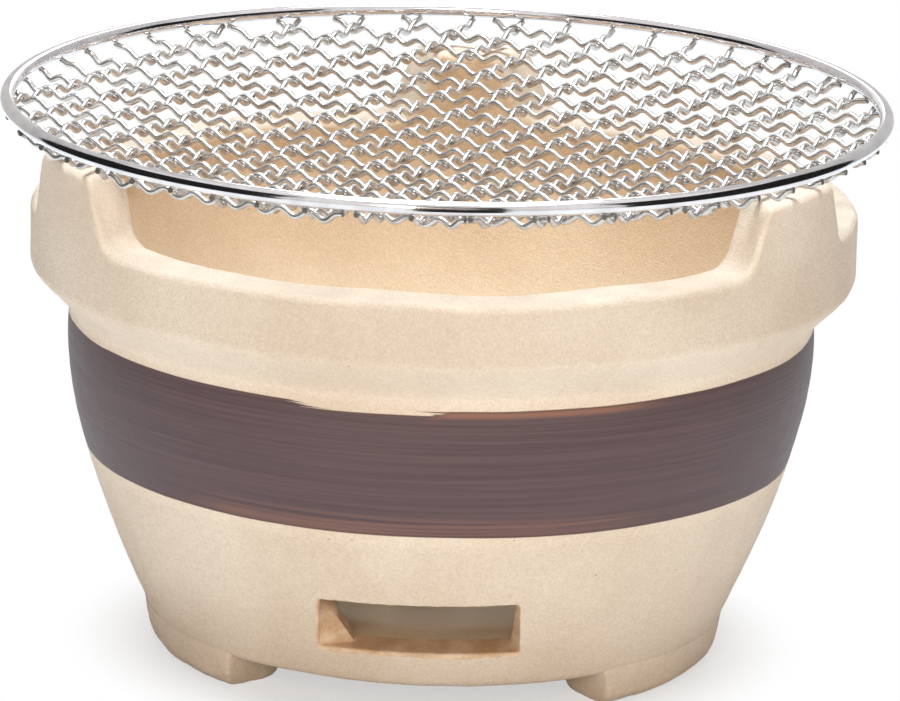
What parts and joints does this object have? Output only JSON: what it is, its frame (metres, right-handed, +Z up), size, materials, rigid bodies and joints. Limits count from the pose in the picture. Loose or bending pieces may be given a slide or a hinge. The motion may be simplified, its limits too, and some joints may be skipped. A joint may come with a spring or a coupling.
{
  "type": "clay charcoal grill",
  "caption": "Round table-top clay charcoal grill: a fired clay bowl on short feet with an air vent, a loose fire grate and a loose woven steel cooking net.",
  "frame": {"origin": "on the ground under the middle of the grill, at the bottom centre of its bounding box", "axes": "+Z up along the grill's axis; the air vent and the front rim notch face -Y; +X is to the right as seen from the vent"},
  "size_m": [0.24, 0.24, 0.1519],
  "materials": {
    "fired_clay": "unglazed fired clay, matt and sandy, with a brushed band of dark brown slip between 56 and 92 mm above the ground on the body",
    "grate_clay": "unglazed fired clay, matt",
    "hoop_steel": "bright drawn steel",
    "net_wire_steel": "bright crimped steel wire"
  },
  "bodies": {
    "body": {"clay_body": "fired_clay", "foot_front_left": "fired_clay", "foot_front_right": "fired_clay", "foot_back": "fired_clay"},
    "grate": {"fire_grate": "grate_clay"},
    "cooking_net": {"net_rim": "hoop_steel", "net_warp_wire_01": "net_wire_steel", "net_warp_wire_02": "net_wire_steel", "net_warp_wire_03": "net_wire_steel", "net_warp_wire_04": "net_wire_steel", "net_warp_wire_05": "net_wire_steel", "net_warp_wire_06": "net_wire_steel", "net_warp_wire_07": "net_wire_steel", "net_warp_wire_08": "net_wire_steel", "net_warp_wire_09": "net_wire_steel", "net_warp_wire_10": "net_wire_steel", "net_warp_wire_11": "net_wire_steel", "net_warp_wire_12": "net_wire_steel", "net_warp_wire_13": "net_wire_steel", "net_warp_wire_14": "net_wire_steel", "net_warp_wire_15": "net_wire_steel", "net_warp_wire_16": "net_wire_steel", "net_warp_wire_17": "net_wire_steel", "net_warp_wire_18": "net_wire_steel", "net_weft_wire_01": "net_wire_steel", "net_weft_wire_02": "net_wire_steel", "net_weft_wire_03": "net_wire_steel", "net_weft_wire_04": "net_wire_steel", "net_weft_wire_05": "net_wire_steel", "net_weft_wire_06": "net_wire_steel", "net_weft_wire_07": "net_wire_steel", "net_weft_wire_08": "net_wire_steel", "net_weft_wire_09": "net_wire_steel", "net_weft_wire_10": "net_wire_steel", "net_weft_wire_11": "net_wire_steel", "net_weft_wire_12": "net_wire_steel", "net_weft_wire_13": "net_wire_steel", "net_weft_wire_14": "net_wire_steel", "net_weft_wire_15": "net_wire_steel", "net_weft_wire_16": "net_wire_steel", "net_weft_wire_17": "net_wire_steel"}
  },
  "joints": [
    {"name": "net_lift", "type": "slide", "parent": "body", "child": "cooking_net", "axis": [0, 0, 1], "range_m": [0, 0.12]},
    {"name": "grate_lift", "type": "slide", "parent": "body", "child": "grate", "axis": [0, 0, 1], "range_m": [0, 0.06]}
  ]
}
